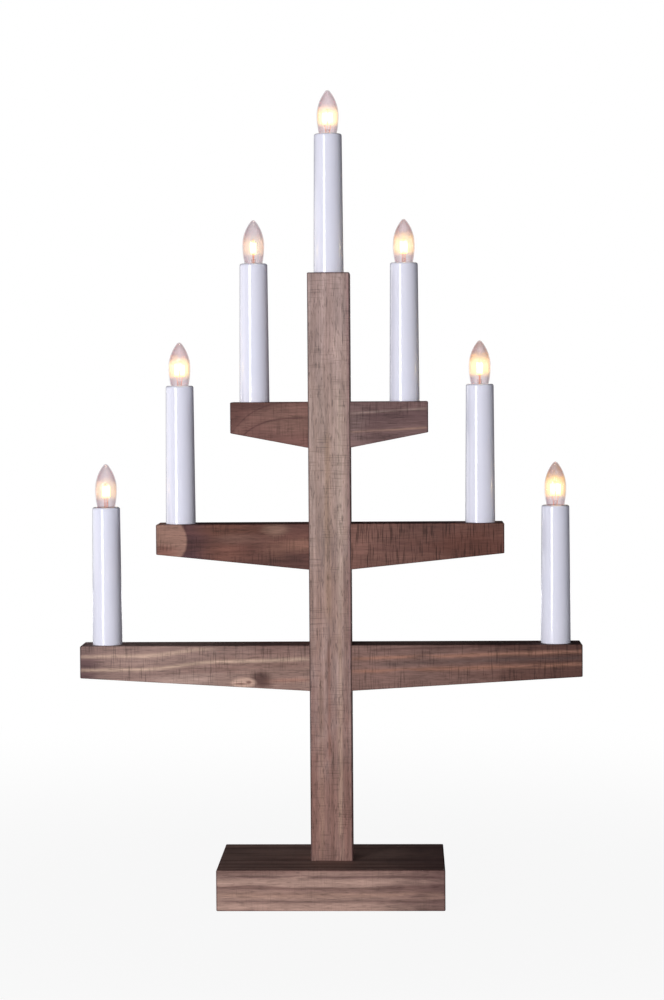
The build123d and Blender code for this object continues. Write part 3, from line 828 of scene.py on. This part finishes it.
# Filament. A fine coil of tungsten up one side and down the other, cooler at its ends and at the bend
# over the top, on two coppered wires melted into the stem with a straight support between them. Each
# bulb sits turned as its thread happened to stop.
coil_half_gap = 2.1 * mm
coil_radius = 1.5 * mm
coil_wire_radius = 0.2 * mm
coil_pitch = 0.62 * mm
coil_steps_a_turn = 12
coil_sides = 6
coil_foot_rise = 6.3 * mm
coil_top_rise = 14.0 * mm
bend_steps = 14
bend_sides = 8
rod_sides = 8
lead_in_radius = 0.22 * mm
lead_in_half_gap = 0.9 * mm
lead_in_depth = 1.0 * mm
support_radius = 0.15 * mm
glow_watts = 0.02
glow_colour = (1.0, 0.84, 0.54)
glow_radius = 2.5 * mm

# Where the coils get hot and where they cool again, in millimetres above the tube's rim.
heat_foot = (4.5, 8.5)
heat_head = (13.0, 16.0)

# How far each bulb's filament is turned about its axis, in degrees.
filament_turns = {
    "top": 0,
    "upper_left": 80,
    "upper_right": 60,
    "middle_left": 25,
    "middle_right": 75,
    "lower_left": 65,
    "lower_right": 15,
}

# Painted glow: the coppered wires emit an orange light of their own for the filament's light on them.
copper = Finish(
    "copper_wire", {"Metallic": 0.6, "Emission Color": (1, 0.42, 0.26, 1), "Emission Strength": 0.35}
)
copper_mottle = copper.mottle(2500.0, 2.0)
copper.paint(
    copper.mix(copper_mottle, (0.78, 0.34, 0.22, 1), (0.88, 0.46, 0.32, 1)), 0.3 + copper_mottle * 0.3
)
tungsten = Finish("glowing_tungsten", {"Base Color": (0.3, 0.28, 0.26, 1), "Emission Strength": 4.5})
tungsten_mottle = tungsten.mottle(900.0, 1.0)
tungsten_rise = tungsten.measure("rise")
tungsten_heat = tungsten.ease(tungsten_rise, *heat_foot) * (1 - tungsten.ease(tungsten_rise, *heat_head))
tungsten_white = tungsten.mix(tungsten_mottle, (1, 0.80, 0.24, 1), (1, 0.88, 0.32, 1))
tungsten_glow = tungsten.mix(tungsten_heat, (0.12, 0.04, 0.012, 1), tungsten_white)
tungsten.paint(others={"Emission Color": tungsten_glow})


def rod(bm, start, stop, radius, material_index):
    """A straight round wire between two points."""
    run = stop - start
    made = bmesh.ops.create_cone(
        bm, cap_ends=True, segments=rod_sides, radius1=radius, radius2=radius, depth=run.length
    )
    turn = Vector((0, 0, 1)).rotation_difference(run).to_matrix()
    bmesh.ops.rotate(bm, verts=made["verts"], cent=(0, 0, 0), matrix=turn)
    bmesh.ops.translate(bm, verts=made["verts"], vec=(start + stop) / 2)
    for face in {face for vert in made["verts"] for face in vert.link_faces}:
        face.material_index = material_index


def ring_section(bm, centre, radius, normal, segments):
    """A small circle of edges, as the section of a wire that is then spun."""
    made = bmesh.ops.create_circle(bm, cap_ends=False, segments=segments, radius=radius)
    turn = Vector((0, 0, 1)).rotation_difference(Vector(normal)).to_matrix()
    bmesh.ops.rotate(bm, verts=made["verts"], cent=(0, 0, 0), matrix=turn)
    bmesh.ops.translate(bm, verts=made["verts"], vec=centre)
    return made["verts"] + list({edge for vert in made["verts"] for edge in vert.link_edges})


for place, rim in rims.items():
    filament = bmesh.new()
    for side in (-1, 1):
        axis = rim + Vector((side * coil_half_gap, 0, 0))
        start = axis + Vector((coil_radius, 0, coil_foot_rise))
        section = ring_section(filament, start, coil_wire_radius, (0, 1, 0), coil_sides)
        turns = (coil_top_rise - coil_foot_rise) / coil_pitch
        bmesh.ops.spin(
            filament, geom=section, cent=axis, axis=(0, 0, 1),
            dvec=(0, 0, coil_pitch / coil_steps_a_turn), angle=turns * tau,
            steps=round(turns * coil_steps_a_turn),
        )
    bend_start = rim + Vector((coil_half_gap, 0, coil_top_rise))
    section = ring_section(filament, bend_start, coil_wire_radius, (0, 0, 1), bend_sides)
    bmesh.ops.spin(
        filament, geom=section, cent=rim + Vector((0, 0, coil_top_rise)), axis=(0, -1, 0), angle=pi,
        steps=bend_steps,
    )
    for side in (-1, 1):
        foot = rim + Vector((side * lead_in_half_gap, 0, -lead_in_depth))
        head = rim + Vector((side * coil_half_gap, 0, coil_foot_rise))
        rod(filament, foot, head, lead_in_radius, 1)
    rod(
        filament, rim + Vector((0, 0, stem_rise)),
        rim + Vector((0, 0, coil_top_rise + coil_half_gap)), support_radius, 1,
    )
    turn = Matrix.Rotation(radians(filament_turns[place]), 3, "Z")
    bmesh.ops.rotate(filament, verts=filament.verts, cent=rim, matrix=turn)
    open_edges = [edge for edge in filament.edges if edge.is_boundary]
    bmesh.ops.holes_fill(filament, edges=open_edges, sides=bend_sides)
    bmesh.ops.recalc_face_normals(filament, faces=filament.faces)
    wires = make_piece(
        f"filament_{place}", filament, [tungsten.material, copper.material], f"bulb_{place}",
        f"bulb_filament_{place}",
    )
    keep_measure(wires, "rise", lambda point: (point.z - rim.z) / mm)
    warmth, _ = glass_light[place]
    lamp_data = bpy.data.lights.new(f"glow_{place}", "POINT")
    lamp_data.energy = glow_watts * warmth
    lamp_data.color = glow_colour
    lamp_data.shadow_soft_size = glow_radius
    lamp = bpy.data.objects.new(f"glow_{place}", lamp_data)
    lamp.location = rim + Vector((0, 0, belly_rise))
    bpy.context.scene.collection.objects.link(lamp)


# Bulb caps. Thin pressed brass, tinted by a wash of nickel. A plain collar is cemented to the neck of
# the glass, and a thread is rolled into the sleeve below it.
cap_length = 8.7 * mm
cap_wall = 0.3 * mm
cap_crest_radius = 4.65 * mm
cap_root_radius = 4.3 * mm
cap_collar_radius = 5.1 * mm
cap_collar_length = 1.6 * mm
cap_floor_hole_radius = 3.4 * mm
cap_steps = 64
thread_half_width = 0.55 * mm
thread_crest_half_width = 0.22 * mm
thread_crest_round = 0.08 * mm
thread_steps_a_turn = 32
thread_sides = 8

cap_brass = Finish("cap_brass", {"Metallic": 1.0})
cap_mottle = cap_brass.mottle(700.0, 4.0)
cap_brass.paint(
    cap_brass.mix(cap_mottle, (0.60, 0.50, 0.30, 1), (0.80, 0.72, 0.52, 1)), 0.22 + cap_mottle * 0.25,
    cap_mottle, 0.02 * mm,
)

for place, rim in rims.items():
    cap = bmesh.new()
    cap_end = -cap_drop - cap_length
    thread_top = -cap_drop - cap_collar_length
    corners = [
        (cap_collar_radius, -cap_drop),
        (cap_collar_radius, thread_top),
        (cap_root_radius, thread_top),
        (cap_root_radius, cap_end),
        (cap_floor_hole_radius, cap_end),
        (cap_floor_hole_radius, cap_end + cap_wall),
        (cap_root_radius - cap_wall, cap_end + cap_wall),
        (cap_root_radius - cap_wall, thread_top - cap_wall),
        (cap_root_radius - cap_wall, thread_top + cap_wall),
        (cap_collar_radius - cap_wall, thread_top + cap_wall),
        (cap_collar_radius - cap_wall, -cap_drop),
    ]
    turned(cap, corners, rim, cap_steps)
    close_up(cap)
    ridge = [
        cap.verts.new(rim + Vector((radius, 0, cap_end + cap_wall + thread_half_width + height)))
        for radius, height in (
            (cap_root_radius - cap_wall / 2, -thread_half_width),
            (cap_root_radius, -thread_half_width),
            (cap_crest_radius - thread_crest_round, -thread_crest_half_width),
            (cap_crest_radius, 0),
            (cap_crest_radius - thread_crest_round, thread_crest_half_width),
            (cap_root_radius, thread_half_width),
            (cap_root_radius - cap_wall / 2, thread_half_width),
        )
    ]
    ridge_edges = [cap.edges.new(pair) for pair in zip(ridge, ridge[1:] + ridge[:1])]
    ridge_turns = (cap_length - cap_collar_length - cap_wall - 2 * thread_half_width) / thread_pitch
    bmesh.ops.spin(
        cap, geom=ridge + ridge_edges, cent=rim, axis=(0, 0, 1),
        dvec=(0, 0, thread_pitch / thread_steps_a_turn), angle=ridge_turns * tau,
        steps=round(ridge_turns * thread_steps_a_turn),
    )
    open_edges = [edge for edge in cap.edges if edge.is_boundary]
    bmesh.ops.holes_fill(cap, edges=open_edges, sides=thread_sides)
    bmesh.ops.recalc_face_normals(cap, faces=cap.faces)
    make_piece(
        f"cap_{place}", cap, [cap_brass.material], f"bulb_{place}", f"bulb_cap_{place}"
    )


# Bulb bases. A bead of black glass closes the open end of the cap, with the solder contact as a flat
# drop in its middle.
base_gap = 0.05 * mm
insulator_radius = 4.2 * mm
insulator_end_radius = 2.4 * mm
insulator_length = 1.2 * mm
solder_radius = 1.9 * mm
solder_length = 1.0 * mm
solder_round = 0.5 * mm
solder_round_segments = 4
base_steps = 48

black_glass = Finish("black_glass", {"IOR": 1.5})
black_mottle = black_glass.mottle(800.0, 2.0)
black_glass.paint(
    black_glass.mix(black_mottle, (0.012, 0.012, 0.015, 1), (0.03, 0.03, 0.035, 1)),
    0.1 + black_mottle * 0.1,
)
solder = Finish("solder", {"Metallic": 1.0})
solder_mottle = solder.mottle(1200.0, 3.0)
solder.paint(
    solder.mix(solder_mottle, (0.45, 0.45, 0.46, 1), (0.68, 0.68, 0.68, 1)), 0.3 + solder_mottle * 0.2,
    solder_mottle, 0.04 * mm,
)

for place, rim in rims.items():
    insulator_top = -cap_drop - cap_length - base_gap
    solder_top = insulator_top - insulator_length
    solder_end = solder_top - solder_length
    base = bmesh.new()
    bead = [
        (0, insulator_top),
        (insulator_radius, insulator_top),
        (insulator_end_radius, solder_top),
        (0, solder_top),
    ]
    turned(base, bead, rim, base_steps, closed=False)
    insulator_faces = set(base.faces)
    drop = [(0, solder_top), (solder_radius, solder_top), (solder_radius, solder_end), (0, solder_end)]
    turned(base, drop, rim, base_steps, closed=False)
    for face in set(base.faces) - insulator_faces:
        face.material_index = 1
    close_up(base)
    round_edge(base, rim, solder_radius, solder_end, solder_round, solder_round_segments)
    make_piece(
        f"base_{place}", base, [black_glass.material, solder.material], f"base_{place}",
        f"bulb_base_{place}",
    )


# Leads. Thin stranded wire in brown plastic, soldered to the lampholders' tags and laid from lamp to
# lamp in the grooves at the back.
sheath = Finish("lead_sheath", {"IOR": 1.5})
sheath_mottle = sheath.mottle(700.0, 3.0)
sheath.paint(
    sheath.mix(sheath_mottle, stain((74, 48, 38)), stain((104, 72, 58))), 0.38 + sheath_mottle * 0.2,
    sheath_mottle, 0.03 * mm,
)
for node_name in ("leads_left", "leads_right", "leads_supply"):
    dress(node_name, sheath.material)


# Clips. Small saddles moulded in brown plastic and pressed between the walls of the grooves, where
# they keep the leads down.
clip_plastic = Finish("clip_plastic", {"IOR": 1.5})
clip_grain = clip_plastic.mottle(1500.0, 3.0)
clip_plastic.paint(
    clip_plastic.mix(clip_grain, stain((92, 64, 52)), stain((122, 92, 76))), 0.45 + clip_grain * 0.2,
    clip_grain, 0.03 * mm,
)
dress("lead_clips", clip_plastic.material)


# Bush. A plug moulded in brown plastic and pressed in at the foot of the post's groove, with the bore
# where the mains cord comes in.
bush_plastic = Finish("bush_plastic", {"IOR": 1.5})
bush_grain = bush_plastic.mottle(1300.0, 3.0)
bush_plastic.paint(
    bush_plastic.mix(bush_grain, stain((62, 42, 36)), stain((86, 62, 54))), 0.4 + bush_grain * 0.2,
    bush_grain, 0.04 * mm,
)
dress("cord_bush", bush_plastic.material)
